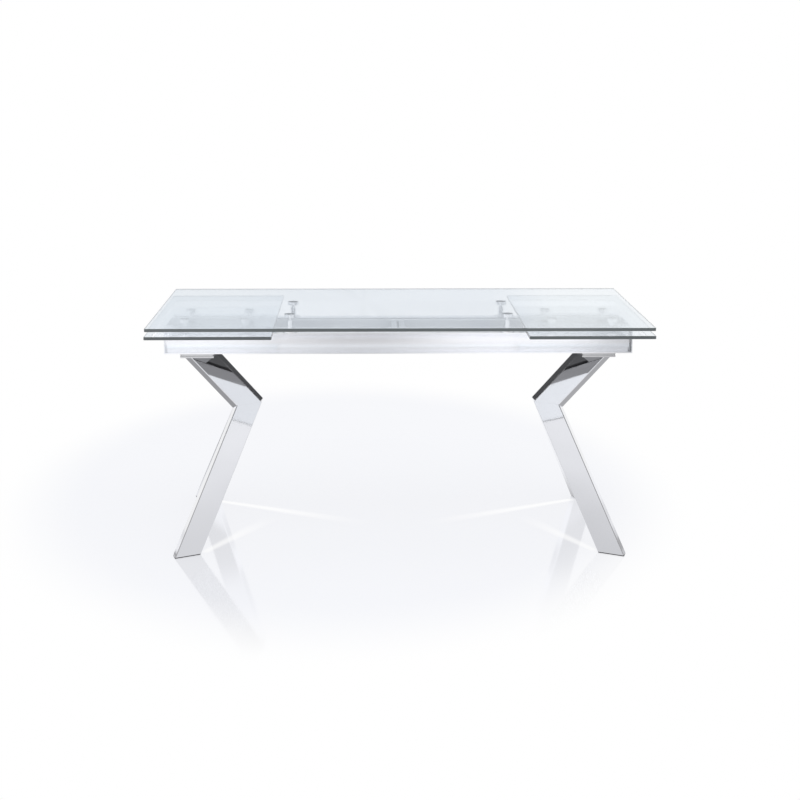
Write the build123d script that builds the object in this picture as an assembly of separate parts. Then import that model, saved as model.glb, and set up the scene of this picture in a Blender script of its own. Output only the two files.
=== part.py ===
"""Extendable dining table with a clear glass top and two glass leaves that slide out at the ends.

The frame is +X along the table's length, +Y to the back and +Z up, with the origin on the floor
under the middle of the table.  All sizes are in millimetres.

Each piece is drawn once, for the front right corner (+X, -Y) or the right-hand end (+X), and the
other corners are its mirror images in the planes x = 0 and y = 0.
"""
from build123d import *
import math
import os

# ------------------------------------------------------------------ driving dimensions: glass
TABLE_HEIGHT = 760
TOP_LENGTH = 1600
TOP_DEPTH = 900
GLASS = 10
GLASS_CORNER = 4
GLASS_BEVEL = 1

LEAF_LENGTH = 400
LEAF_DEPTH = 850
LEAF_GAP = 20
LEAF_OVERHANG = 6
LEAF_TRAVEL = 394

# ------------------------------------------------------------------ driving dimensions: beam
BEAM_LENGTH = 1550
BEAM_DEPTH = 320
BEAM_BOTTOM = 628
BEAM_TOP = 697
SHEET = 2
COVE_DEPTH = 25
COVE_RETURN = 4
END_CAP = 3
TRAY_FLOOR = 3
TRAY_FLOOR_DEPTH = 300

TRACK_Y = 104
TRACK_WIDTH = 48
TRACK_WALL = 2.5
TRACK_SLOT = 24

BRACE_X = 300
BRACE_WIDTH = 40
BRACE_HEIGHT = 35
BRIDGE_WIDTH = 45
BRIDGE_DROP = 5
BRIDGE_SLOT = (7, 140)

# ------------------------------------------------------------------ driving dimensions: runners
RUNNER_WIDTH = 36
RUNNER_HEIGHT = 44
RUNNER_WALL = 2
RUNNER_CORNER = 4
SLIDE_CLEARANCE = 0.5
SHOE_START = 34
SHOE_LENGTH = 30
SPIGOT_LENGTH = 28
GUIDE_BLOCK_LENGTH = 34
CENTRE_STOP_HALF = 28
BUFFER_RADIUS = 9
TRAVEL_STOP = (10, 8)
NOTCH_MARGIN = 2

# ------------------------------------------------------------------ driving dimensions: posts
POST_DISC = (18, 11)
POST_NECK_RADIUS = 5
POST_BARREL_RADIUS = 9

MAIN_POST_X = 360
MAIN_POST_Y = 138
MAIN_POST_FLANGE = (22, 4)
MAIN_POST_NECK_HEIGHT = 9

LEAF_POST_X = (510, 710)
LEAF_POST_NECK_HEIGHT = 6
LEAF_POST_STUD = (4, 10)

# ------------------------------------------------------------------ driving dimensions: legs
FOOT_X = 729
FOOT_Y = 406
SPLAY = 30
LEAN = 23
SHANK_RAKE = 34
ARM_RAKE = 36.3
SHANK_LENGTH = 574
TUBE_WIDTH = 77
TUBE_DEPTH = 36
TUBE_WALL = 2
TUBE_CORNER = 2.5
LEG_TOP = 602
FOOT_PAD = 3
FOOT_PAD_INSET = 1
FOOT_PLUG = 12
FOOT_PLUG_SLACK = 0.3

LEG_PLATE_X = (618, 730)
LEG_PLATE_DEPTH = 180
LEG_FLANGE = 6
LEG_GROOVE = 3
LEG_GROOVE_INSET = 4
LEG_BOLT_X = (645, 705)
LEG_BOLT_Y = 62

# ------------------------------------------------------------------ screws and bolts
M6 = 3.0
M8 = 4.0
HOLE_SLACK = 0.15
M6_HEAD = (5.5, 3.5)
M8_HEAD = (6.5, 5.5)
M8_WASHER = (8.5, 1.6)
POST_SCREW_LENGTH = 18
RIVET_NUT = (6.5, 8)

# ------------------------------------------------------------------ heights and places that follow
TOP_UNDERSIDE = TABLE_HEIGHT - GLASS
LEAF_TOP = TOP_UNDERSIDE - LEAF_GAP
LEAF_UNDERSIDE = LEAF_TOP - GLASS
LEAF_OUTER = TOP_LENGTH / 2 + LEAF_OVERHANG
LEAF_CENTRE = LEAF_OUTER - LEAF_LENGTH / 2

BEAM_MIDDLE = (BEAM_TOP + BEAM_BOTTOM) / 2
INSIDE_CAP = BEAM_LENGTH / 2 - END_CAP
FLOOR_BOTTOM = BEAM_BOTTOM + SHEET
FLOOR_TOP = FLOOR_BOTTOM + TRAY_FLOOR
TRACK_TOP = BEAM_TOP - SHEET
TRACK_INNER = TRACK_Y - TRACK_WIDTH / 2
CAVITY_BOTTOM = FLOOR_TOP + TRACK_WALL
CAVITY_TOP = TRACK_TOP - TRACK_WALL
CAVITY_MIDDLE = (CAVITY_BOTTOM + CAVITY_TOP) / 2
CAVITY_HALF = TRACK_WIDTH / 2 - TRACK_WALL
LIP_EDGE = TRACK_Y + TRACK_SLOT / 2

RUNNER_TOP = CAVITY_MIDDLE + RUNNER_HEIGHT / 2
RUNNER_START = SHOE_START + SHOE_LENGTH
RUNNER_END = INSIDE_CAP - 2

FLANGE_TOP = LEG_TOP + LEG_FLANGE
GROOVE_TOP = FLANGE_TOP + LEG_GROOVE
LEG_BOLT_SPOTS = [(x, y) for x in LEG_BOLT_X for y in (-LEG_BOLT_Y, LEG_BOLT_Y)]


# ------------------------------------------------------------------ basic shapes
def slab(x, y, z):
    """A box between the low and high values given for each axis."""
    centre = [(low + high) / 2 for low, high in (x, y, z)]
    size = [high - low for low, high in (x, y, z)]
    return Pos(*centre) * Box(*size)


def around(middle, half):
    """The low and high value at equal distances from a middle."""
    return (middle - half, middle + half)


def rod(x, y, z, radius):
    """An upright cylinder between the low and high z."""
    low, high = z
    return Pos(x, y, (low + high) / 2) * Cylinder(radius, high - low)


def rod_along_x(x, y, z, radius):
    """A level cylinder between the low and high x."""
    low, high = x
    return Pos((low + high) / 2, y, z) * Rot(0, 90, 0) * Cylinder(radius, high - low)


def section(y, z):
    """A rectangle between the low and high y and z, for a shape that runs along X."""
    return Pos((y[0] + y[1]) / 2, (z[0] + z[1]) / 2) * Rectangle(y[1] - y[0], z[1] - z[0])


def along_x(profile, x):
    """A profile of the YZ plane, drawn out between the low and high x."""
    return Pos(x[0], 0, 0) * extrude(Plane.YZ * profile, amount=x[1] - x[0])


def to_left(piece):
    """The right-hand piece's image at the left-hand end."""
    return mirror(piece, about=Plane.YZ)


def to_back(piece):
    """The front piece's image at the back."""
    return mirror(piece, about=Plane.XZ)


# ------------------------------------------------------------------ glass
def glass_sheet(x, depth, top):
    """A toughened sheet with small round corners and a fine bevel round both faces."""
    sheet = slab(x, around(0, depth / 2), (top - GLASS, top))
    sheet = fillet(sheet.edges().filter_by(Axis.Z), GLASS_CORNER)
    rims = sheet.faces().filter_by(Axis.Z).edges()
    return chamfer(rims, GLASS_BEVEL)


def main_glass():
    return glass_sheet(around(0, TOP_LENGTH / 2), TOP_DEPTH, TABLE_HEIGHT)


def leaf_glass():
    return glass_sheet(around(LEAF_CENTRE, LEAF_LENGTH / 2), LEAF_DEPTH, LEAF_TOP)


# ------------------------------------------------------------------ beam
def front_fascia():
    """Polished sheet folded round a cove, with a flange turned inwards at the top and bottom."""
    chord = BEAM_TOP - BEAM_BOTTOM - 2 * COVE_RETURN
    radius = (chord ** 2 / 4 + COVE_DEPTH ** 2) / (2 * COVE_DEPTH)
    front = -BEAM_DEPTH / 2
    centre = Pos(front + COVE_DEPTH - radius, BEAM_MIDDLE)
    outside = section((front, -LIP_EDGE), (BEAM_BOTTOM, BEAM_TOP)) - centre * Circle(radius)
    hollow = section((front + SHEET, 0), (BEAM_BOTTOM + SHEET, BEAM_TOP - SHEET))
    hollow -= centre * Circle(radius + SHEET)
    fascia = along_x(outside - hollow, around(0, INSIDE_CAP))
    for x in (-MAIN_POST_X, MAIN_POST_X):
        fascia -= rod(x, -MAIN_POST_Y, (TRACK_TOP - 1, BEAM_TOP + 1), M6 + HOLE_SLACK)
    return fascia


def tray_floor():
    """The flat floor of the beam, with the holes for the leg bolts."""
    floor = slab(around(0, INSIDE_CAP), around(0, TRAY_FLOOR_DEPTH / 2), (FLOOR_BOTTOM, FLOOR_TOP))
    for x, y in LEG_BOLT_SPOTS:
        floor -= rod(x, y, (FLOOR_BOTTOM - 1, FLOOR_TOP + 1), M8 + HOLE_SLACK)
        floor -= rod(-x, y, (FLOOR_BOTTOM - 1, FLOOR_TOP + 1), M8 + HOLE_SLACK)
    return floor


def front_track():
    """The guide channel: a steel box section with a slot along its top."""
    outside = section(around(-TRACK_Y, TRACK_WIDTH / 2), (FLOOR_TOP, TRACK_TOP))
    cavity = section(around(-TRACK_Y, CAVITY_HALF), (CAVITY_BOTTOM, CAVITY_TOP))
    slot = section(around(-TRACK_Y, TRACK_SLOT / 2), (CAVITY_MIDDLE, BEAM_TOP))
    return along_x(outside - cavity - slot, around(0, INSIDE_CAP))


def end_cap():
    """The end plate, with an open notch over each runner."""
    cap = slab((INSIDE_CAP, BEAM_LENGTH / 2), around(0, BEAM_DEPTH / 2), (BEAM_BOTTOM, BEAM_TOP))
    notch_bottom = CAVITY_MIDDLE - RUNNER_HEIGHT / 2 - NOTCH_MARGIN
    for y in (-TRACK_Y, TRACK_Y):
        sides = around(y, RUNNER_WIDTH / 2 + NOTCH_MARGIN)
        cap -= slab((INSIDE_CAP - 1, BEAM_LENGTH / 2 + 1), sides, (notch_bottom, BEAM_TOP + 1))
    return cap


def cross_channel(x, width, top):
    """A folded channel across the tray, open below, that ties the two tracks."""
    outside = slab(around(x, width / 2), around(0, TRACK_INNER), (FLOOR_TOP, top))
    inside = slab(around(x, width / 2 - SHEET), around(0, TRACK_INNER), (FLOOR_TOP, top - SHEET))
    return outside - inside


def cross_brace():
    """The low channel under the leaf's half of the tray."""
    return cross_channel(BRACE_X, BRACE_WIDTH, FLOOR_TOP + BRACE_HEIGHT)


def centre_bridge():
    """The high channel in the middle of the tray, slotted along its top."""
    top = TRACK_TOP - BRIDGE_DROP
    slot_width, slot_length = BRIDGE_SLOT
    slot = slab(around(0, slot_width / 2), around(0, slot_length / 2), (top - SHEET, top))
    return cross_channel(0, BRIDGE_WIDTH, top) - slot


def guide_block():
    """The nylon lining that carries a runner where it leaves the beam."""
    side = RUNNER_WIDTH / 2 + SLIDE_CLEARANCE
    rise = RUNNER_HEIGHT / 2 + SLIDE_CLEARANCE
    outside = section(around(-TRACK_Y, CAVITY_HALF), (CAVITY_BOTTOM, CAVITY_TOP))
    bore = section(around(-TRACK_Y, side), around(CAVITY_MIDDLE, rise))
    slot = section(around(-TRACK_Y, TRACK_SLOT / 2), (CAVITY_MIDDLE, BEAM_TOP))
    end = INSIDE_CAP - SLIDE_CLEARANCE
    return along_x(outside - bore - slot, (end - GUIDE_BLOCK_LENGTH, end))


def centre_stop():
    """The block in the middle of a track that both shoes come to rest against."""
    sides = around(-TRACK_Y, CAVITY_HALF)
    return slab(around(0, CENTRE_STOP_HALF), sides, (CAVITY_BOTTOM, CAVITY_TOP - SLIDE_CLEARANCE))


def centre_buffer():
    """A rubber button on the end of the centre stop."""
    reach = (CENTRE_STOP_HALF, SHOE_START - SLIDE_CLEARANCE)
    return rod_along_x(reach, -TRACK_Y, CAVITY_MIDDLE, BUFFER_RADIUS)


def travel_stop():
    """The lug under a track's outer lip that the shoe meets when the leaf is fully out."""
    length, width = TRAVEL_STOP
    start = RUNNER_START + LEAF_TRAVEL + SLIDE_CLEARANCE
    wall = -TRACK_Y - CAVITY_HALF
    return slab((start, start + length), (wall, wall + width), (RUNNER_TOP + 1, CAVITY_TOP))


# ------------------------------------------------------------------ posts
def turned(x, y, steps):
    """An upright turned piece from (radius, bottom z, top z) steps."""
    outline = [(0, steps[0][1])]
    for radius, low, high in steps:
        outline += [(radius, low), (radius, high)]
    outline += [(0, steps[-1][2])]
    half = make_face(Plane.XZ * Polyline(*outline, close=True))
    return Pos(x, y, 0) * revolve(half, Axis.Z)


def glass_post_top(neck_height, underside):
    """The neck and the bonded disc that every post ends in, under a glass sheet."""
    disc_radius, disc_height = POST_DISC
    disc_bottom = underside - disc_height
    return [
        (POST_NECK_RADIUS, disc_bottom - neck_height, disc_bottom),
        (disc_radius, disc_bottom, underside)]


def main_post():
    """A turned post from the beam's top flange to the disc bonded under the main glass."""
    flange_radius, flange_height = MAIN_POST_FLANGE
    foot_top = BEAM_TOP + flange_height
    top = glass_post_top(MAIN_POST_NECK_HEIGHT, TOP_UNDERSIDE)
    neck_bottom = top[0][1]
    post = turned(MAIN_POST_X, -MAIN_POST_Y, [
        (flange_radius, BEAM_TOP, foot_top),
        (POST_BARREL_RADIUS, foot_top, neck_bottom),
        *top])
    return post - rod(MAIN_POST_X, -MAIN_POST_Y, (BEAM_TOP - 1, TRACK_TOP + POST_SCREW_LENGTH), M6)


def main_post_screw():
    """The screw that holds a main post from below the top flange."""
    head_radius, head_height = M6_HEAD
    return turned(MAIN_POST_X, -MAIN_POST_Y, [
        (head_radius, TRACK_TOP - head_height, TRACK_TOP),
        (M6, TRACK_TOP, TRACK_TOP + POST_SCREW_LENGTH)])


def leaf_post(x):
    """A short turned post from the runner to the disc bonded under the leaf."""
    stud_radius, stud_length = LEAF_POST_STUD
    top = glass_post_top(LEAF_POST_NECK_HEIGHT, LEAF_UNDERSIDE)
    neck_bottom = top[0][1]
    return turned(x, -TRACK_Y, [
        (stud_radius, RUNNER_TOP - stud_length, RUNNER_TOP),
        (POST_BARREL_RADIUS, RUNNER_TOP, neck_bottom),
        *top])


def rivet_nut(x):
    """The blind nut under the runner's top wall that takes a leaf post's stud."""
    radius, height = RIVET_NUT
    top = RUNNER_TOP - RUNNER_WALL
    bore = LEAF_POST_STUD[0] + HOLE_SLACK
    return rod(x, -TRACK_Y, (top - height, top), radius) - rod(x, -TRACK_Y, (top - height, top), bore)


# ------------------------------------------------------------------ runners
def runner():
    """The rectangular tube that carries a leaf along one track."""
    place = Pos(-TRACK_Y, CAVITY_MIDDLE)
    inner_width = RUNNER_WIDTH - 2 * RUNNER_WALL
    inner_height = RUNNER_HEIGHT - 2 * RUNNER_WALL
    ring = RectangleRounded(RUNNER_WIDTH, RUNNER_HEIGHT, RUNNER_CORNER)
    ring -= RectangleRounded(inner_width, inner_height, RUNNER_CORNER - RUNNER_WALL)
    tube = along_x(place * ring, (RUNNER_START, RUNNER_END))
    wall = (RUNNER_TOP - RUNNER_WALL - 1, RUNNER_TOP + 1)
    for x in LEAF_POST_X:
        tube -= rod(x, -TRACK_Y, wall, LEAF_POST_STUD[0] + HOLE_SLACK)
    return tube


def runner_spigot():
    """The profile of a plug that pushes into the end of a runner."""
    width = RUNNER_WIDTH - 2 * RUNNER_WALL - 2 * HOLE_SLACK
    height = RUNNER_HEIGHT - 2 * RUNNER_WALL - 2 * HOLE_SLACK
    return Pos(-TRACK_Y, CAVITY_MIDDLE) * RectangleRounded(width, height, RUNNER_CORNER - RUNNER_WALL)


def shoe():
    """The nylon shoe on a runner's inner end, which slides in the track."""
    half_width = CAVITY_HALF - SLIDE_CLEARANCE
    half_height = (CAVITY_TOP - CAVITY_BOTTOM) / 2 - SLIDE_CLEARANCE
    head = section(around(-TRACK_Y, half_width), around(CAVITY_MIDDLE, half_height))
    block = along_x(head, (SHOE_START, RUNNER_START))
    return block + along_x(runner_spigot(), (RUNNER_START, RUNNER_START + SPIGOT_LENGTH))


def runner_plug():
    """The nylon plug that closes a runner's outer end, level with the end cap's face."""
    place = Pos(-TRACK_Y, CAVITY_MIDDLE)
    head = place * RectangleRounded(RUNNER_WIDTH, RUNNER_HEIGHT, RUNNER_CORNER)
    face = along_x(head, (RUNNER_END, BEAM_LENGTH / 2 - SLIDE_CLEARANCE))
    return face + along_x(runner_spigot(), (RUNNER_END - SPIGOT_LENGTH, RUNNER_END))


# ------------------------------------------------------------------ leg plates and bolts
def leg_flange():
    """The plate welded on top of a pair of legs, tapped for the leg bolts."""
    plate = slab(LEG_PLATE_X, around(0, LEG_PLATE_DEPTH / 2), (LEG_TOP, FLANGE_TOP))
    for x, y in LEG_BOLT_SPOTS:
        plate -= rod(x, y, (LEG_TOP - 1, FLANGE_TOP + 1), M8)
    return plate


def leg_bracket():
    """The block under the beam that the flange is drawn up to, with a shadow groove below."""
    low, high = LEG_PLATE_X
    half_depth = LEG_PLATE_DEPTH / 2
    groove_x = (low + LEG_GROOVE_INSET, high - LEG_GROOVE_INSET)
    groove_y = around(0, half_depth - LEG_GROOVE_INSET)
    bracket = slab(LEG_PLATE_X, around(0, half_depth), (GROOVE_TOP, FLOOR_BOTTOM))
    bracket += slab(groove_x, groove_y, (FLANGE_TOP, GROOVE_TOP))
    for x, y in LEG_BOLT_SPOTS:
        bracket -= rod(x, y, (FLANGE_TOP - 1, FLOOR_BOTTOM + 1), M8 + HOLE_SLACK)
    return bracket


def leg_bolt(x, y):
    """A bolt with its washer, from inside the tray down into the leg flange."""
    head_radius, head_height = M8_HEAD
    washer_radius, washer_height = M8_WASHER
    washer_top = FLOOR_TOP + washer_height
    return turned(x, y, [
        (M8, LEG_TOP, FLOOR_TOP),
        (washer_radius, FLOOR_TOP, washer_top),
        (head_radius, washer_top, washer_top + head_height)])


# ------------------------------------------------------------------ legs
def leg_plane():
    """The plane of a leg's front face: x runs level and outwards, y up the face."""
    splay = math.radians(SPLAY)
    lean = math.radians(LEAN)
    outwards = (math.cos(splay), -math.sin(splay), 0)
    facing = (-math.sin(splay) * math.cos(lean), -math.cos(splay) * math.cos(lean), math.sin(lean))
    return Plane(origin=(FOOT_X, -FOOT_Y, 0), x_dir=outwards, z_dir=facing)


def tube_in_leg_plane(edge_start, direction, length, inset=0, wall=TUBE_WALL):
    """A tube whose outer edge starts at a point of the leg plane, drawn along a direction.

    The inset makes the whole section smaller all round, and no wall makes it solid.
    """
    inwards = Vector(-direction.Y, direction.X)
    centre = edge_start + inwards * (TUBE_WIDTH / 2) + Vector(0, 0, -TUBE_DEPTH / 2)
    across = Plane(origin=centre, x_dir=inwards, z_dir=direction)
    corner = max(TUBE_CORNER - inset, 0.5)
    profile = RectangleRounded(TUBE_WIDTH - 2 * inset, TUBE_DEPTH - 2 * inset, corner)
    if wall:
        hollow_width = TUBE_WIDTH - 2 * inset - 2 * wall
        hollow_depth = TUBE_DEPTH - 2 * inset - 2 * wall
        profile -= RectangleRounded(hollow_width, hollow_depth, max(corner - wall, 0.5))
    return extrude(across * profile, amount=length)


def upwards(angle):
    """The unit direction in the leg plane that leans outwards by an angle from the plane's y."""
    turn = math.radians(angle)
    return Vector(math.sin(turn), math.cos(turn))


SHANK_WAY = upwards(-SHANK_RAKE)
ARM_WAY = upwards(ARM_RAKE)
KNEE = SHANK_WAY * SHANK_LENGTH
MITRE = Plane(origin=KNEE, x_dir=Vector(0, 0, 1), z_dir=SHANK_WAY + ARM_WAY)
REACH = 3 * TUBE_WIDTH


def front_shank():
    """The lower tube of a leg, from the foot pad up to the mitred knee."""
    below = SHANK_WAY * -REACH
    tube = tube_in_leg_plane(below, SHANK_WAY, SHANK_LENGTH + 2 * REACH)
    tube = split(tube, bisect_by=MITRE, keep=Keep.BOTTOM)
    return split(leg_plane().location * tube, bisect_by=Plane.XY.offset(FOOT_PAD), keep=Keep.TOP)


def front_arm():
    """The upper tube of a leg, from the mitred knee out and up to the leg flange."""
    tube = tube_in_leg_plane(KNEE - ARM_WAY * REACH, ARM_WAY, SHANK_LENGTH + REACH)
    tube = split(tube, bisect_by=MITRE, keep=Keep.TOP)
    return split(leg_plane().location * tube, bisect_by=Plane.XY.offset(LEG_TOP), keep=Keep.BOTTOM)


def between_levels(piece, low, high):
    """The part of a piece between two heights above the floor."""
    piece = split(piece, bisect_by=Plane.XY.offset(low), keep=Keep.TOP)
    return split(piece, bisect_by=Plane.XY.offset(high), keep=Keep.BOTTOM)


def front_foot_pad():
    """The plastic glide under a foot, with the plug that pushes up into the tube."""
    below = SHANK_WAY * -REACH
    glide = tube_in_leg_plane(below, SHANK_WAY, 2 * REACH, FOOT_PAD_INSET, wall=0)
    plug = tube_in_leg_plane(below, SHANK_WAY, 2 * REACH, TUBE_WALL + FOOT_PLUG_SLACK, wall=0)
    place = leg_plane().location
    pad = between_levels(place * glide, 0, FOOT_PAD)
    return pad + between_levels(place * plug, FOOT_PAD, FOOT_PAD + FOOT_PLUG)


# ------------------------------------------------------------------ writing
def write(name, *pieces):
    """Write one node: a single piece, or a group of identical separate pieces."""
    solids = [solid for piece in pieces for solid in piece.solids()]
    if len(solids) != len(pieces):
        raise ValueError(f"{name}: {len(pieces)} pieces came out as {len(solids)} solids")
    export_step(solids[0] if len(solids) == 1 else Compound(children=solids), f"parts/{name}.step")


def both_ends(piece):
    """The right-hand piece and its left-hand image, by the name of the end."""
    return {"right": piece, "left": to_left(piece)}


def write_corners(name, piece):
    """Write a front right piece and its three images, each as a node of its own."""
    for end, at_end in both_ends(piece).items():
        write(f"front_{end}_{name}", at_end)
        write(f"back_{end}_{name}", to_back(at_end))


def four_corners(piece):
    """A front right piece and its three images."""
    return [piece, to_back(piece), to_left(piece), to_left(to_back(piece))]


def write_beam():
    write("front_fascia", front_fascia())
    write("back_fascia", to_back(front_fascia()))
    write("tray_floor", tray_floor())
    write("front_track", front_track())
    write("back_track", to_back(front_track()))
    write("centre_bridge", centre_bridge())
    write("centre_stops", centre_stop(), to_back(centre_stop()))
    write("centre_buffers", *four_corners(centre_buffer()))
    write("travel_stops", *four_corners(travel_stop()))
    for end, cap in both_ends(end_cap()).items():
        write(f"{end}_end_cap", cap)
    for end, brace in both_ends(cross_brace()).items():
        write(f"{end}_cross_brace", brace)
    for end, block in both_ends(guide_block()).items():
        write(f"{end}_guide_blocks", block, to_back(block))


def write_top():
    write("main_glass", main_glass())
    write_corners("main_post", main_post())
    write("main_post_screws", *four_corners(main_post_screw()))


def write_legs():
    write_corners("leg_arm", front_arm())
    write_corners("leg_shank", front_shank())
    write_corners("foot_pad", front_foot_pad())
    for end, flange in both_ends(leg_flange()).items():
        write(f"{end}_leg_flange", flange)
    for end, bracket in both_ends(leg_bracket()).items():
        write(f"{end}_leg_bracket", bracket)
    bolts = [leg_bolt(x, y) for x, y in LEG_BOLT_SPOTS]
    write("right_leg_bolts", *bolts)
    write("left_leg_bolts", *[to_left(bolt) for bolt in bolts])


def write_leaf(end, place):
    """Write the pieces of one leaf, with the function that places a right-hand piece."""
    def group(name, pieces):
        placed = [place(piece) for piece in pieces]
        write(f"{end}_{name}", *placed, *[to_back(piece) for piece in placed])

    write(f"{end}_leaf_glass", place(leaf_glass()))
    write(f"{end}_front_runner", place(runner()))
    write(f"{end}_back_runner", to_back(place(runner())))
    group("leaf_posts", [leaf_post(x) for x in LEAF_POST_X])
    group("rivet_nuts", [rivet_nut(x) for x in LEAF_POST_X])
    group("runner_shoes", [shoe()])
    group("runner_plugs", [runner_plug()])


def main():
    os.makedirs("parts", exist_ok=True)
    write_top()
    write_beam()
    write_legs()
    write_leaf("right", lambda piece: piece)
    write_leaf("left", to_left)


main()
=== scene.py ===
"""The looks of an extendable glass dining table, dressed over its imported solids.

The table stands on the floor with its length along X, its front towards -Y and Z up, in metres.
Each piece is drawn once, for the front right corner or the right-hand end, and mirrored to the
others.  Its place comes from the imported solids, and its fine sizes from the fields of its class.
"""

import functools
import logging
import math
from collections.abc import Iterable, Sequence
from dataclasses import dataclass
from enum import Enum

import bmesh
import bpy
from mathutils import Matrix, Vector


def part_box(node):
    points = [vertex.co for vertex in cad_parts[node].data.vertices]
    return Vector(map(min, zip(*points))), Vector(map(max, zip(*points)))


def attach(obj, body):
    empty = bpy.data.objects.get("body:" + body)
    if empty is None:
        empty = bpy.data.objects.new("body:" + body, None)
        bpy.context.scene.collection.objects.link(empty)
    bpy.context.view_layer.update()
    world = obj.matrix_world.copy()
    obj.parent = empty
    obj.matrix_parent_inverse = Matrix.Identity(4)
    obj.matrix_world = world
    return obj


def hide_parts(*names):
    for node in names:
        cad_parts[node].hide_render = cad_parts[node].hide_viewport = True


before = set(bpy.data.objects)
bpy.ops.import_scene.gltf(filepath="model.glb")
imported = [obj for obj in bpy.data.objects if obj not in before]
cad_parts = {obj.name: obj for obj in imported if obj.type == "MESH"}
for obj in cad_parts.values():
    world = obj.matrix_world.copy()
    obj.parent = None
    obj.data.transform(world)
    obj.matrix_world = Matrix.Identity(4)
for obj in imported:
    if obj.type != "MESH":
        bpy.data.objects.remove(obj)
bpy.context.view_layer.update()

Pair = tuple[float, float]
Triple = tuple[float, float, float]
Colour = tuple[float, float, float]
Stops = tuple[Pair, ...]
Shape = bmesh.types.BMesh
Edge = bmesh.types.BMEdge
Socket = bpy.types.NodeSocket
Feeds = dict[str | int, object]

UP = Vector((0.0, 0.0, 1.0))
MERGE = 1e-6    # points nearer than this are one
IN_PLANE = 1e-5    # a point nearer than this to a plane lies in it
SQUARE = 0.99    # a face looks along an axis when its normal has more than this of it
STRAIGHT = 0.999    # and an edge runs along it when its direction has more than this
FLAT = math.radians(1.0)    # faces that turn by less than this are one

log = logging.getLogger("table")


class Body(Enum):
    """The bodies of the table that move as one."""

    TABLE = "table"
    LEFT_LEAF = "left_leaf"
    RIGHT_LEAF = "right_leaf"


class Flank(Enum):
    """A part of the table, by the sign that mirrors a front right shape to it."""

    @property
    def word(self) -> str:
        """Its name in node names."""
        return self.name.lower()


class End(Flank):
    """The two ends of the table, by the sign of X."""

    RIGHT = 1
    LEFT = -1

    @property
    def leaf_body(self) -> Body:
        """The body of the leaf at this end."""
        return Body.RIGHT_LEAF if self is End.RIGHT else Body.LEFT_LEAF


class Side(Flank):
    """The front and the back of the table, by the sign of Y relative to the front."""

    FRONT = 1
    BACK = -1


class Slot(Enum):
    """The record's material slots."""

    MAIN_GLASS = "main_glass"
    LEAF_GLASS = "leaf_glass"
    POLISHED_STEEL = "polished_steel"
    BRIGHT_STEEL = "bright_steel"
    TRAY_STEEL = "tray_steel"
    RUNNER_ALUMINIUM = "runner_aluminium"
    NYLON = "nylon"
    RUBBER = "rubber"
    FOOT_PLASTIC = "foot_plastic"
    FASTENER_STEEL = "fastener_steel"


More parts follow.
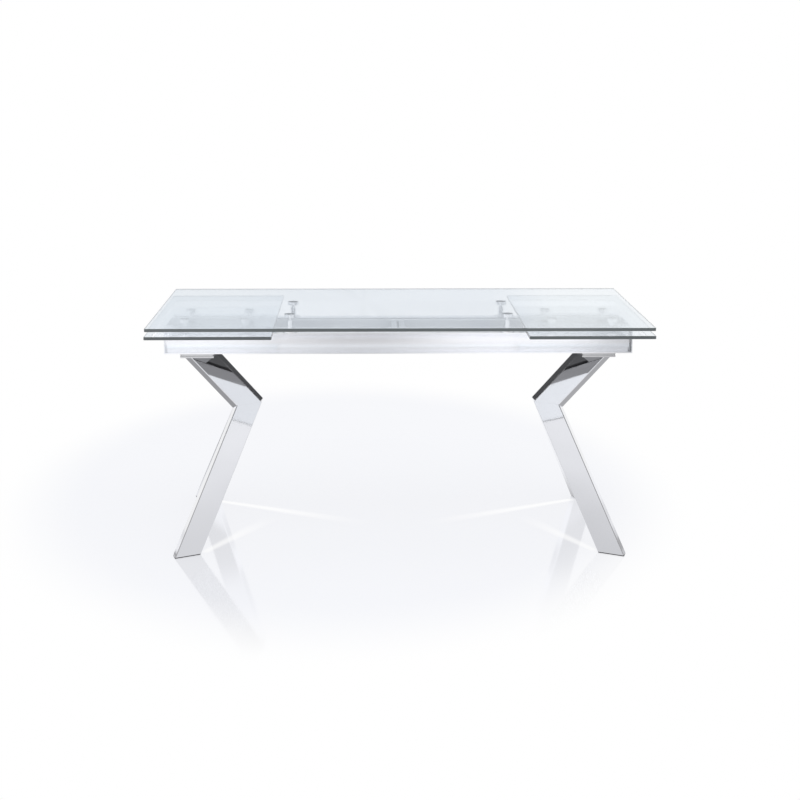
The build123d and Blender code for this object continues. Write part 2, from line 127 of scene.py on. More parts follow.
# Shader nodes
class ShaderBench:
    """Lays out the nodes of one material or of the world.

    The numbers are the places of a colour mix's inputs and output.
    """

    share_input, first_input, second_input, mixed_output = 0, 6, 7, 2

    def __init__(self, tree: bpy.types.NodeTree, output: str = "OutputMaterial") -> None:
        """Clear the tree and give it its output node.

        Args:
            tree: the node tree to lay out.
            output: the kind of output node.
        """
        self.tree = tree
        self.tree.nodes.clear()
        self.output = self.add(output)

    def add(self, kind: str, inputs: Feeds | None = None, **settings: object) -> bpy.types.Node:
        """Add a node.

        Args:
            kind: the node's type name, without the prefix that all of them share.
            inputs: the name or number of each input, with a constant or a socket for it.
            **settings: properties of the node itself.

        Returns:
            The new node.
        """
        node = self.tree.nodes.new(f"ShaderNode{kind}")
        for key, value in settings.items():
            setattr(node, key, value)
        for key, value in (inputs or {}).items():
            self.feed(node.inputs[key], value)
        return node

    def feed(self, target: Socket, value: object) -> None:
        """Link a socket to an input, or write a constant on it.

        Args:
            target: the input.
            value: the socket or the constant, where a colour has no fourth part.
        """
        if isinstance(value, bpy.types.NodeSocket):
            self.tree.links.new(value, target)
        else:
            target.default_value = (*value, 1.0) if target.type == "RGBA" else value

    def tap(self, kind: str, inputs: Feeds, output: int | str = 0, **settings: object) -> Socket:
        """Add a node and give one of its outputs, the first if none is named."""
        return self.add(kind, inputs, **settings).outputs[output]

    def glow(self, colour: object) -> Socket:
        """A surface that shows a colour as it is written, in any light."""
        return self.tap("Emission", {"Color": colour, "Strength": 1.0})

    def show(self, shader: Socket) -> None:
        """Send a shader to the output."""
        self.tree.links.new(shader, self.output.inputs["Surface"])

    def place(self, stretch: Triple = (1.0, 1.0, 1.0), shift: Triple = (0.0, 0.0, 0.0)) -> Socket:
        """The piece's own coordinates in metres, stretched to make a pattern finer, and shifted."""
        spot = self.tap("TexCoord", {}, "Object")
        return self.tap("Mapping", {"Vector": spot, "Scale": stretch, "Location": shift})

    def split(self, vector: Socket) -> tuple[Socket, ...]:
        """The parts of a vector along X, Y and Z."""
        return tuple(self.add("SeparateXYZ", {0: vector}).outputs)

    def cloud(self, at: Socket, scale: float, detail: float) -> Socket:
        """A soft noise between 0 and 1, by its features in each metre and its finer octaves."""
        return self.tap("TexNoise", {"Vector": at, "Scale": scale, "Detail": detail}, "Fac")

    def between(self, value: Socket, start: Pair, end: Pair = (0.0, 1.0)) -> Socket:
        """Map a value smoothly from one span to another, held at the ends."""
        spans = {"From Min": start[0], "From Max": start[1], "To Min": end[0], "To Max": end[1]}
        return self.tap("MapRange", {"Value": value, **spans}, interpolation_type="SMOOTHSTEP")

    def blend(self, share: object, first: object, second: object, way: str = "MIX") -> Socket:
        """Mix two colours, by how much of the second there is."""
        inputs = {self.share_input: share, self.first_input: first, self.second_input: second}
        return self.tap("Mix", inputs, self.mixed_output, data_type="RGBA", blend_type=way)

    def shaded(self, colour: Socket, shade: object) -> Socket:
        """Multiply a colour by a tint or a gain."""
        return self.blend(1.0, colour, shade, "MULTIPLY")

    def ramp(self, value: Socket, stops: Stops) -> Socket:
        """Turn a value into a grey tone by a row of stops.

        Args:
            value: the value, from -1 to 1.
            stops: the tone at each place, in order, with the value's span as 0 to 1.

        Returns:
            The colour socket.
        """
        node = self.add("ValToRGB", {0: self.maths("MULTIPLY_ADD", value, 0.5, 0.5)})
        for place, _ in stops[1:-1]:
            node.color_ramp.elements.new(place)
        for element, (place, tone) in zip(node.color_ramp.elements, stops):
            element.position = place
            element.color = (tone, tone, tone, 1.0)
        return node.outputs["Color"]

    def maths(self, operation: str, *values: object) -> Socket:
        """Combine constants or value sockets with a math node."""
        return self.tap("Math", dict(enumerate(values)), operation=operation)

    def distance(self, value: Socket, middle: float) -> Socket:
        """How far a value is from another, on either side."""
        return self.maths("ABSOLUTE", self.maths("SUBTRACT", value, middle))

    def relief(self, height: Socket, depth: float) -> Socket:
        """The normals of a pattern whose value of 1 stands a depth in metres above 0."""
        return self.tap("Bump", {"Height": height, "Distance": depth})

    def either(self, share: Socket, first: Socket, second: Socket) -> Socket:
        """Mix two shaders, by how much of the second there is."""
        return self.tap("MixShader", {0: share, 1: first, 2: second})

    def ray(self, fact: str) -> Socket:
        """A fact about the ray that meets the surface, such as its kind."""
        return self.tap("LightPath", {}, fact)

    def seen(self) -> Socket:
        """1 for what the eye, metal and glass see of the room, and 0 for the light it gives."""
        through = self.maths("MAXIMUM", self.ray("Is Glossy Ray"), self.ray("Is Transmission Ray"))
        return self.maths("MAXIMUM", self.ray("Is Camera Ray"), through)

    def turned_back(self) -> Socket:
        """1 for a ray that something has turned back, and 0 for one that only passed through."""
        return self.maths("MINIMUM", self.ray("Glossy Depth"), 1.0)


# Finishes
WHITE: Colour = (1.0, 1.0, 1.0)
GLASS_IOR = 1.52
CLOUD_SPAN = (0.3, 0.7)    # where most of a soft cloud lies
LINE_SPAN = (0.25, 0.75)    # where most of a pattern of fine lines lies


@dataclass(frozen=True)
class Finish:
    """A finish of the table or of its floor, made into a material once.

    Where a finish gives a noise, it is the features in each metre and the octaves.
    """

    name: str

    def lay_out(self, bench: ShaderBench) -> None:
        """Lay out the finish's nodes.

        Args:
            bench: the bench of its material.
        """
        raise NotImplementedError


@functools.cache
def material_of(finish: Finish) -> bpy.types.Material:
    """Make the material of a finish when it is first asked for.

    Args:
        finish: the finish.

    Returns:
        Its material.
    """
    material = bpy.data.materials.new(finish.name)
    material.use_nodes = True
    finish.lay_out(ShaderBench(material.node_tree))
    return material


class Lay(Enum):
    """Which way the fine lines of a finish run, as the pattern's stretch along each axis."""

    ALONG_X = (1.5, 260.0, 260.0)
    ALONG_Y = (260.0, 1.5, 260.0)
    ROUND = (14.0, 14.0, 900.0)


@dataclass(frozen=True)
class PolishedSteel(Finish):
    """Steel tube polished to a mirror, with a faint haze and the waviness of thin metal."""

    bright: Colour = (0.86, 0.865, 0.885)
    dull: Colour = (0.80, 0.805, 0.825)
    haze: Pair = (0.035, 0.075)
    wave_depth: float = 0.00022
    haze_noise: Pair = (5.0, 4.0)
    wave_noise: Pair = (9.0, 0.0)

    def lay_out(self, bench: ShaderBench) -> None:
        """Lay out the cloudy haze over slow waves."""
        at = bench.place()
        cloud = bench.cloud(at, *self.haze_noise)
        bench.show(bench.tap("BsdfPrincipled", {
            "Base Color": bench.blend(cloud, self.bright, self.dull),
            "Metallic": 1.0,
            "Roughness": bench.between(cloud, CLOUD_SPAN, self.haze),
            "Normal": bench.relief(bench.cloud(at, *self.wave_noise), self.wave_depth),
        }))


@dataclass(frozen=True)
class BrushedMetal(Finish):
    """Metal with fine straight or turned lines, and a slow change of tone."""

    bright: Colour
    dull: Colour
    rough: Pair
    lay: Lay = Lay.ALONG_X
    line_noise: Pair = (4.0, 3.0)
    tone_noise: Pair = (7.0, 3.0)
    line_share: float = 0.6
    line_depth: float = 0.00002

    def lay_out(self, bench: ShaderBench) -> None:
        """Lay out the lines over a cloudy tone."""
        lines = bench.cloud(bench.place(self.lay.value), *self.line_noise)
        cloud = bench.cloud(bench.place(), *self.tone_noise)
        rest = bench.maths("MULTIPLY", cloud, 1.0 - self.line_share)
        tone = bench.maths("MULTIPLY_ADD", lines, self.line_share, rest)
        bench.show(bench.tap("BsdfPrincipled", {
            "Base Color": bench.blend(tone, self.bright, self.dull),
            "Metallic": 1.0,
            "Roughness": bench.between(lines, LINE_SPAN, self.rough),
            "Normal": bench.relief(lines, self.line_depth),
        }))


@dataclass(frozen=True)
class LinedSteel(Finish):
    """Steel finished with long fine lines along x, which smear upright whatever it mirrors."""

    bright: Colour
    dull: Colour
    rough: Pair
    stretch: Triple = (1.5, 30.0, 30.0)
    tone_noise: Pair = (4.0, 3.0)
    wave_noise: Pair = (3.0, 0.0)
    wave_depth: float = 0.00012
    smear: float = 1.0
    smear_turn: float = 0.25

    def lay_out(self, bench: ShaderBench) -> None:
        """Lay out the smear across the lines, over a cloudy tone and slow waves."""
        cloud = bench.cloud(bench.place(self.stretch), *self.tone_noise)
        waves = bench.cloud(bench.place(), *self.wave_noise)
        bench.show(bench.tap("BsdfPrincipled", {
            "Base Color": bench.blend(cloud, self.bright, self.dull),
            "Metallic": 1.0,
            "Roughness": bench.between(cloud, CLOUD_SPAN, self.rough),
            "Anisotropic": self.smear,
            "Anisotropic Rotation": self.smear_turn,
            "Tangent": bench.tap("CombineXYZ", {"X": 1.0}),
            "Normal": bench.relief(waves, self.wave_depth),
        }))


@dataclass(frozen=True)
class TurnedSteel(Finish):
    """Bright turned steel, with a painted reflection of a darker room along the rod's curved edges.
    """

    bright: Colour
    dull: Colour
    # the colour painted towards the edges, as the reflection of a darker room
    sides: Colour
    rough: Pair
    ring_noise: Pair = (4.0, 3.0)
    ring_depth: float = 0.00001
    turning: Pair = (0.35, 0.85)

    def lay_out(self, bench: ShaderBench) -> None:
        """Lay out the tool's rings, with a painted darker reflection towards the rod's edges."""
        rings = bench.cloud(bench.place(Lay.ROUND.value), *self.ring_noise)
        facing = bench.tap("LayerWeight", {"Blend": 0.5}, "Facing")
        painted_reflection_share = bench.between(facing, self.turning)
        bench.show(bench.tap("BsdfPrincipled", {
            "Base Color": bench.blend(painted_reflection_share, bench.blend(rings, self.bright, self.dull), self.sides),
            "Metallic": 1.0,
            "Roughness": bench.between(rings, LINE_SPAN, self.rough),
            "Normal": bench.relief(rings, self.ring_depth),
        }))


@dataclass(frozen=True)
class MouldedPlastic(Finish):
    """Moulded nylon, rubber or foot plastic, with a fine grain from its tool."""

    light: Colour
    dark: Colour
    rough: Pair
    grain_noise: Pair = (1400.0, 2.0)
    grain_depth: float = 0.00004
    tone_noise: Pair = (30.0, 2.0)

    def lay_out(self, bench: ShaderBench) -> None:
        """Lay out the tool's grain and a slow change of tone."""
        grain = bench.cloud(bench.place(), *self.grain_noise)
        cloud = bench.cloud(bench.place(), *self.tone_noise)
        bench.show(bench.tap("BsdfPrincipled", {
            "Base Color": bench.blend(cloud, self.light, self.dark),
            "Roughness": bench.between(grain, CLOUD_SPAN, self.rough),
            "Normal": bench.relief(grain, self.grain_depth),
        }))


@dataclass(frozen=True)
class ClearGlass(Finish):
    """The faces of a toughened sheet, with the faint cool tint of clear glass."""

    light: Colour = (0.935, 0.955, 0.97)
    deep: Colour = (0.92, 0.945, 0.962)
    shade: Colour = (0.93, 0.95, 0.96)
    tone_noise: Pair = (2.0, 1.0)

    def lay_out(self, bench: ShaderBench) -> None:
        """Lay out the glass, which lets the lamps through to what is under it."""
        cloud = bench.cloud(bench.place(), *self.tone_noise)
        glass = bench.tap("BsdfPrincipled", {
            "Base Color": bench.blend(cloud, self.light, self.deep),
            "Transmission Weight": 1.0,
            "Roughness": 0.0,
            "IOR": GLASS_IOR,
        })
        open_glass = bench.tap("BsdfTransparent", {"Color": self.shade})
        bench.show(bench.either(bench.ray("Is Shadow Ray"), glass, open_glass))


@dataclass(frozen=True)
class GroundEdge(Finish):
    """The ground and polished edge of a sheet: dark and greenish outside, with a pale painted
    reflection where it is seen through the glass.
    """

    light: Colour = (0.148, 0.168, 0.172)
    deep: Colour = (0.112, 0.128, 0.131)
    within: Colour = (0.74, 0.78, 0.80)
    rough: Pair = (0.06, 0.2)
    stretch: Triple = (3.0, 3.0, 700.0)
    line_noise: Pair = (3.0, 3.0)
    line_depth: float = 0.00001
    tone_noise: Pair = (3.0, 2.0)

    def lay_out(self, bench: ShaderBench) -> None:
        """Lay out the fine lines that the grinding wheel leaves along the edge."""
        lines = bench.cloud(bench.place(self.stretch), *self.line_noise)
        cloud = bench.cloud(bench.place(), *self.tone_noise)
        # a ray that has passed into the glass sees the edge in its pale painted reflection
        inside = bench.maths("MINIMUM", bench.ray("Transmission Depth"), 1.0)
        outside = bench.blend(cloud, self.light, self.deep)
        bench.show(bench.tap("BsdfPrincipled", {
            "Base Color": bench.blend(inside, outside, self.within),
            "Roughness": bench.between(lines, LINE_SPAN, self.rough),
            "IOR": GLASS_IOR,
            "Normal": bench.relief(lines, self.line_depth),
        }))


FASCIA_STEEL = LinedSteel(
    "lined_fascia_steel", (0.972, 0.976, 0.992), (0.962, 0.968, 0.986), (0.25, 0.262))
# dark painted shade for the inner face of one end plate
CAP_PAINTED_SHADE = BrushedMetal(
    "mill_finish_cap_steel", (0.14, 0.142, 0.148), (0.08, 0.081, 0.085), (0.3, 0.45), Lay.ALONG_Y)
LEG_STEEL = PolishedSteel("polished_leg_steel", wave_depth=0.0004)
# darker steel painted on the shanks' outer front corners as a dark reflection
CORNER_PAINTED_REFLECTION = PolishedSteel(
    "drawn_corner_steel", (0.46, 0.46, 0.47), (0.40, 0.40, 0.41), (0.12, 0.2))
# darker steel painted on undersides as shade
UNDERSIDE_PAINTED_SHADE = BrushedMetal(
    "mill_finish_underside_steel", (0.355, 0.355, 0.36), (0.285, 0.285, 0.29), (0.45, 0.6))
# near-black steel painted on the tray floor's underside as shade
TRAY_UNDERSIDE_PAINTED_SHADE = BrushedMetal(
    "mill_finish_floor_steel", (0.12, 0.12, 0.122), (0.08, 0.08, 0.082), (0.45, 0.6))
# black steel painted in the grooves as shade in a recess
GROOVE_PAINTED_SHADE = BrushedMetal(
    "groove_painted_shade", (0.03, 0.03, 0.031), (0.018, 0.018, 0.019), (0.5, 0.7))
PLATE_STEEL = BrushedMetal(
    "bright_plate_steel", (0.68, 0.68, 0.685), (0.54, 0.54, 0.545), (0.12, 0.24), Lay.ALONG_Y)
# its third colour is a painted reflection along the posts' curved edges
POST_STEEL = TurnedSteel(
    "turned_post_steel", (0.97, 0.972, 0.98), (0.93, 0.933, 0.943), (0.42, 0.425, 0.435),
    (0.12, 0.22))
TRAY_STEEL = BrushedMetal(
    "brushed_tray_steel", (0.965, 0.968, 0.975), (0.91, 0.914, 0.925), (0.26, 0.42))
BRACE_STEEL = BrushedMetal(
    "brushed_brace_steel", (0.40, 0.41, 0.43), (0.32, 0.33, 0.35), (0.26, 0.42), Lay.ALONG_Y)
RUNNER_METAL = BrushedMetal(
    "anodised_runner", (0.72, 0.725, 0.73), (0.64, 0.645, 0.65), (0.28, 0.42))
SCREW_STEEL = BrushedMetal(
    "zinc_plated_steel", (0.70, 0.70, 0.68), (0.58, 0.58, 0.565), (0.18, 0.34), Lay.ROUND)
NYLON = MouldedPlastic(
    "moulded_nylon", (0.05, 0.05, 0.052), (0.032, 0.032, 0.034), (0.38, 0.55))
RUBBER = MouldedPlastic(
    "moulded_rubber", (0.03, 0.03, 0.03), (0.018, 0.018, 0.018), (0.6, 0.8))
FOOT_PLASTIC = MouldedPlastic(
    "moulded_foot_plastic", (0.055, 0.055, 0.057), (0.035, 0.035, 0.037), (0.45, 0.6))
GLASS_FACE = ClearGlass("clear_glass_face")
GLASS_EDGE = GroundEdge("polished_glass_edge")

CARRIED_FINISH = {
    Slot.POLISHED_STEEL: LEG_STEEL,
    Slot.BRIGHT_STEEL: PLATE_STEEL,
    Slot.TRAY_STEEL: TRAY_STEEL,
    Slot.RUNNER_ALUMINIUM: RUNNER_METAL,
    Slot.NYLON: NYLON,
    Slot.RUBBER: RUBBER,
    Slot.FOOT_PLASTIC: FOOT_PLASTIC,
    Slot.FASTENER_STEEL: SCREW_STEEL,
}
BRACES = ("cross_brace", "bridge")


# Mesh tools
def block(low: Vector, high: Vector) -> Shape:
    """A box between two corners.

    Args:
        low: the lowest corner.
        high: the highest corner.

    Returns:
        The closed shape.
    """
    shape = bmesh.new()
    place = Matrix.Translation((low + high) / 2) @ Matrix.Diagonal((*(high - low), 1.0))
    bmesh.ops.create_cube(shape, size=1.0, matrix=place)
    return shape


def ease(shape: Shape, edges: Iterable[Edge], width: float, steps: int) -> None:
    """Round edges over a width to each side of them, with some steps of faces across."""
    bmesh.ops.bevel(
        shape, geom=list(edges), offset=width, offset_type="OFFSET", affect="EDGES",
        segments=steps, profile=0.5, clamp_overlap=True, material=-1)


def along(shape: Shape, axis: int) -> list[Edge]:
    """The edges of a shape that run along X, Y or Z, which are axis 0, 1 and 2."""
    ways = ((edge, edge.verts[1].co - edge.verts[0].co) for edge in shape.edges)
    return [edge for edge, way in ways if abs(way.normalized()[axis]) > STRAIGHT]


def corners(shape: Shape, angle: float) -> list[Edge]:
    """The edges of a closed shape where its faces turn by more than an angle in degrees."""
    limit = math.radians(angle)
    return [e for e in shape.edges if e.is_manifold and e.calc_face_angle(0.0) > limit]


def divide(shape: Shape, point: Vector, normal: Vector, drop_outer: bool = False) -> None:
    """Divide a shape's faces along a plane, and drop what lies on its outer side if asked."""
    geometry = shape.verts[:] + shape.edges[:] + shape.faces[:]
    bmesh.ops.bisect_plane(
        shape, geom=geometry, dist=MERGE, plane_co=point, plane_no=normal, clear_outer=drop_outer)


def cut(shape: Shape, point: Vector, normal: Vector) -> None:
    """Cut off what lies on a plane's outer side, and close the cut.

    Args:
        shape: the closed shape, changed in place.
        point: a point of the plane.
        normal: the way to the side that goes.
    """
    divide(shape, point, normal, drop_outer=True)
    bmesh.ops.holes_fill(shape, edges=[e for e in shape.edges if e.is_boundary], sides=0)
    bmesh.ops.recalc_face_normals(shape, faces=shape.faces)


def shift_new(shape: Shape, made: dict[str, list], step: Triple) -> None:
    """Move the points that an extrusion has made in a shape."""
    points = [item for item in made["geom"] if isinstance(item, bmesh.types.BMVert)]
    bmesh.ops.translate(shape, verts=points, vec=step)


def mirrored(shape: Shape, end: End, side: Side) -> Shape:
    """Carry a front right shape to another corner.

    Args:
        shape: the shape, changed in place.
        end: the end it goes to.
        side: the side it goes to.

    Returns:
        The same shape.
    """
    flip = Matrix.Diagonal((end.value, side.value, 1.0, 1.0))
    bmesh.ops.transform(shape, matrix=flip, verts=shape.verts)
    if end.value * side.value < 0:
        bmesh.ops.reverse_faces(shape, faces=shape.faces)
    return shape


def gathered(shapes: Iterable[Shape]) -> Shape:
    """Put several shapes into one.

    Args:
        shapes: the shapes, which are used up.

    Returns:
        One shape with all their faces.
    """
    whole = bmesh.new()
    for shape in shapes:
        carrier = bpy.data.meshes.new("carrier")
        shape.to_mesh(carrier)
        shape.free()
        whole.from_mesh(carrier)
        bpy.data.meshes.remove(carrier)
    return whole


def turned(outline: Sequence[Pair], centre: Pair, softening: float, steps: int = 64) -> Shape:
    """Turn an outline round an upright axis.

    Args:
        outline: radius and height of each corner, from the foot's middle to the head's middle.
        centre: the axis in x and y.
        softening: the round on the piece's sharp edges.
        steps: the faces round the piece.

    Returns:
        The closed shape.
    """
    shape = bmesh.new()
    x, y = centre
    points = [shape.verts.new((x + radius, y, height)) for radius, height in outline]
    for first, second in zip(points, points[1:]):
        shape.edges.new((first, second))
    bmesh.ops.spin(
        shape, geom=shape.verts[:] + shape.edges[:], cent=(x, y, 0.0), axis=UP,
        dvec=(0.0, 0.0, 0.0), angle=math.tau, steps=steps, use_merge=True, use_duplicate=False)
    bmesh.ops.remove_doubles(shape, verts=shape.verts, dist=MERGE)
    bmesh.ops.recalc_face_normals(shape, faces=shape.faces)
    ease(shape, corners(shape, angle=40.0), softening, steps=2)
    return shape


def eased_copy(node: str, width: float, steps: int = 2) -> Shape:
    """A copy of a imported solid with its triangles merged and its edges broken.

    Args:
        node: the solid's name.
        width: the width of the broken edges.
        steps: the faces across each.

    Returns:
        The closed shape.
    """
    shape = bmesh.new()
    shape.from_mesh(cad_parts[node].data)
    bmesh.ops.remove_doubles(shape, verts=shape.verts, dist=MERGE)
    bmesh.ops.dissolve_limit(
        shape, angle_limit=FLAT, verts=shape.verts, edges=shape.edges,
        use_dissolve_boundaries=False)
    bmesh.ops.recalc_face_normals(shape, faces=shape.faces)
    ease(shape, corners(shape, angle=35.0), width, steps)
    return shape


def linked(name: str, data: bpy.types.ID) -> bpy.types.Object:
    """Make an object of the scene.

    Args:
        name: its name.
        data: the mesh, the lamp or the camera that it holds.

    Returns:
        The object.
    """
    holder = bpy.data.objects.new(name, data)
    bpy.context.scene.collection.objects.link(holder)
    return holder


def meshed(name: str, shape: Shape, materials: Iterable[bpy.types.Material]) -> bpy.types.Object:
    """Turn a shape into an object of the scene.

    Args:
        name: the object's name.
        shape: the shape, which is used up.
        materials: its materials, in the order of its faces' material numbers.

    Returns:
        The object.
    """
    mesh = bpy.data.meshes.new(name)
    shape.to_mesh(mesh)
    shape.free()
    for material in materials:
        mesh.materials.append(material)
    return linked(name, mesh)


def make_piece(stands_for: str, word: str, shape: Shape, finishes: Sequence[Finish],
               body: Body = Body.TABLE, crease: float = 32.0) -> None:
    """Make a shape into a piece of the table.

    Args:
        stands_for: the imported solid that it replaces.
        word: what the piece's name has after the solid's.
        shape: the shape, which is used up.
        finishes: its finishes, in the order of its faces' material numbers.
        body: the body that it moves with.
        crease: the turn between two faces in degrees from which their edge is drawn sharp.
    """
    for edge in shape.edges:
        edge.smooth = not edge.is_manifold or edge.calc_face_angle(0.0) < math.radians(crease)
    for face in shape.faces:
        face.smooth = True
    piece = meshed(f"{stands_for}_{word}", shape, map(material_of, finishes))
    shading = piece.modifiers.new("even_shading", "WEIGHTED_NORMAL")
    shading.weight = 100
    shading.keep_sharp = True
    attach(piece, body.value)
    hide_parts(stands_for)
    faces = len(piece.data.polygons)
    log.info("%s: %d faces on %s, for %s", piece.name, faces, body.value, stands_for)


# Glass
@dataclass
class GlassSheet:
    """A toughened sheet with small round corners and a fine bevel round both faces."""

    node: str
    slot: Slot
    body: Body = Body.TABLE
    corner: float = 0.004
    corner_steps: int = 6
    bevel: float = 0.001

    def build(self) -> None:
        """Build the sheet in the place of its solid."""
        sheet = block(*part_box(self.node))
        ease(sheet, along(sheet, 2), self.corner, self.corner_steps)
        rims = [e for e in corners(sheet, angle=60.0)
                if abs(e.verts[0].co.z - e.verts[1].co.z) < MERGE]
        ease(sheet, rims, self.bevel, steps=1)
        for face in sheet.faces:
            face.material_index = 0 if abs(face.normal.z) > SQUARE else 1
        make_piece(self.node, "sheet", sheet, (GLASS_FACE, GLASS_EDGE), self.body)


# Beam
@dataclass
class Beam:
    """The long steel tray under the glass: its coved fascias, its floor and its end plates."""

    sheet: float = 0.002
    cove_depth: float = 0.025
    cove_return: float = 0.004
    cove_steps: int = 48
    fold_round: float = 0.0006
    fold_steps: int = 3
    plate_round: float = 0.0005
    groove_width: float = 0.012
    groove_depth: float = 0.0022
    # the end whose plate has painted shade on its inner face
    painted_shade_end: End = End.RIGHT

    def fascia(self, low: Vector, high: Vector) -> Shape:
        """Fold the front fascia: two flanges, two narrow returns and the cove between them.

        Args:
            low: the lowest corner of the front fascia.
            high: its highest corner.

        Returns:
            The closed shape.
        """
        middle = (low.z + high.z) / 2
        rise = (high.z - low.z) / 2 - self.cove_return
        radius = (rise ** 2 + self.cove_depth ** 2) / (2 * self.cove_depth)
        half_turn = math.asin(rise / radius)
        fold = bmesh.new()
        start = fold.verts.new((low.x, low.y, middle - rise))
        bmesh.ops.spin(
            fold, geom=[start], cent=(low.x, low.y + self.cove_depth - radius, middle),
            axis=(1.0, 0.0, 0.0), dvec=(0.0, 0.0, 0.0), angle=2 * half_turn,
            steps=self.cove_steps, use_merge=False, use_duplicate=False)
        for way in (-1.0, 1.0):
            last = min(fold.verts, key=lambda v: way * -v.co.z)
            for step in ((0.0, 0.0, way * self.cove_return), (0.0, high.y - low.y, 0.0)):
                last = bmesh.ops.extrude_vert_indiv(fold, verts=[last])["verts"][0]
                bmesh.ops.translate(fold, verts=[last], vec=step)
        made = bmesh.ops.extrude_edge_only(fold, edges=fold.edges[:])
        shift_new(fold, made, (high.x - low.x, 0.0, 0.0))
        bmesh.ops.recalc_face_normals(fold, faces=fold.faces)
        top = max(fold.faces, key=lambda f: f.calc_center_median().z)
        if top.normal.z < 0:
            bmesh.ops.reverse_faces(fold, faces=fold.faces)
        bmesh.ops.solidify(fold, geom=fold.faces[:], thickness=self.sheet)
        bmesh.ops.recalc_face_normals(fold, faces=fold.faces)
        lengthwise = set(along(fold, 0))
        folds = [edge for edge in corners(fold, angle=40.0) if edge in lengthwise]
        ease(fold, folds, self.fold_round, self.fold_steps)
        # the lower flange's underside gets painted shade
        for face in fold.faces:
            lowest = face.calc_center_median().z < low.z + self.sheet / 2
            face.material_index = int(lowest and face.normal.z < -SQUARE)
        return fold

    def floor(self, lip: float) -> Shape:
        """The tray's floor, with painted shade below, and a groove along each fascia's lip painted
        dark as shade.

        Args:
            lip: how far the lips of the fascias' lower flanges are from the middle.

        Returns:
            The closed shape.
        """
        shape = eased_copy("tray_floor", self.plate_round / 2, steps=1)
        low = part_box("tray_floor")[0].z
        for reach in (lip, lip - self.groove_width):
            for way in (-1.0, 1.0):
                divide(shape, Vector((0.0, way * reach, 0.0)), Vector((0.0, 1.0, 0.0)))
        # faces below get painted shade, and those in the grooves a darker painted shade
        for face in shape.faces:
            middle = face.calc_center_median()
            below = face.normal.z < -SQUARE and middle.z < low + IN_PLANE
            grooved = below and lip - self.groove_width < abs(middle.y) < lip
            face.material_index = 2 if grooved else int(below)
        sunk = [face for face in shape.faces if face.material_index == 2]
        made = bmesh.ops.extrude_face_region(shape, geom=sunk)
        bmesh.ops.delete(shape, geom=sunk, context="FACES_ONLY")
        shift_new(shape, made, (0.0, 0.0, self.groove_depth))
        bmesh.ops.recalc_face_normals(shape, faces=shape.faces)
        return shape

    def cap(self, end: End) -> Shape:
        """An end plate, polished outside, with painted shade on its inner face at one end only.

        Args:
            end: the end it closes.

        Returns:
            The closed shape.
        """
        plate = eased_copy(f"{end.word}_end_cap", self.plate_round)
        for face in plate.faces:
            # only this end's inner face is painted dark as shade
            inner = face.normal.x * end.value < -SQUARE
            face.material_index = int(inner and end is self.painted_shade_end)
        return plate

    def build(self) -> None:
        """Build the fascias, the tray's floor and the end plates."""
        low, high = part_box("front_fascia")
        for side in Side:
            fold = mirrored(self.fascia(low, high), End.RIGHT, side)
            make_piece(f"{side.word}_fascia", "fold", fold,
                       (FASCIA_STEEL, UNDERSIDE_PAINTED_SHADE))
        make_piece("tray_floor", "plate", self.floor(-high.y),
                   (TRAY_STEEL, TRAY_UNDERSIDE_PAINTED_SHADE, GROOVE_PAINTED_SHADE))
        for end in End:
            make_piece(f"{end.word}_end_cap", "plate", self.cap(end),
                       (FASCIA_STEEL, CAP_PAINTED_SHADE))


# Posts
@dataclass
class GlassPost:
    """A turned post: a foot flange if it has one, a barrel, a neck and the disc under the glass."""

    neck_height: float
    foot: Pair | None = None
    barrel_radius: float = 0.009
    neck_radius: float = 0.005
    disc: Pair = (0.018, 0.011)
    softening: float = 0.0006

    def turn(self, centre: Pair, low: float, high: float) -> Shape:
        """Turn a post.

        Args:
            centre: its axis in x and y.
            low: the height of its seat.
            high: the height of the glass above it.

        Returns:
            The closed shape.
        """
        disc_radius, disc_height = self.disc
        disc_bottom = high - disc_height
        parts = [(self.barrel_radius, disc_bottom - self.neck_height),
                 (self.neck_radius, disc_bottom), (disc_radius, high)]
        if self.foot:
            foot_radius, foot_height = self.foot
            parts.insert(0, (foot_radius, low + foot_height))
        outline = [(0.0, low)]
        for radius, top in parts:
            _, bottom = outline[-1]
            outline += [(radius, bottom), (radius, top)]
        return turned([*outline, (0.0, high)], centre, self.softening)


@dataclass
class TopPosts:
    """The four posts that carry the main glass."""

    post: GlassPost

    def build(self) -> None:
        """Build each post in the place of its solid."""
        for side in Side:
            for end in End:
                node = f"{side.word}_{end.word}_main_post"
                low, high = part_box(node)
                middle = (low + high) / 2
                shape = self.post.turn((middle.x, middle.y), low.z, high.z)
                make_piece(node, "turned", shape, (POST_STEEL,))


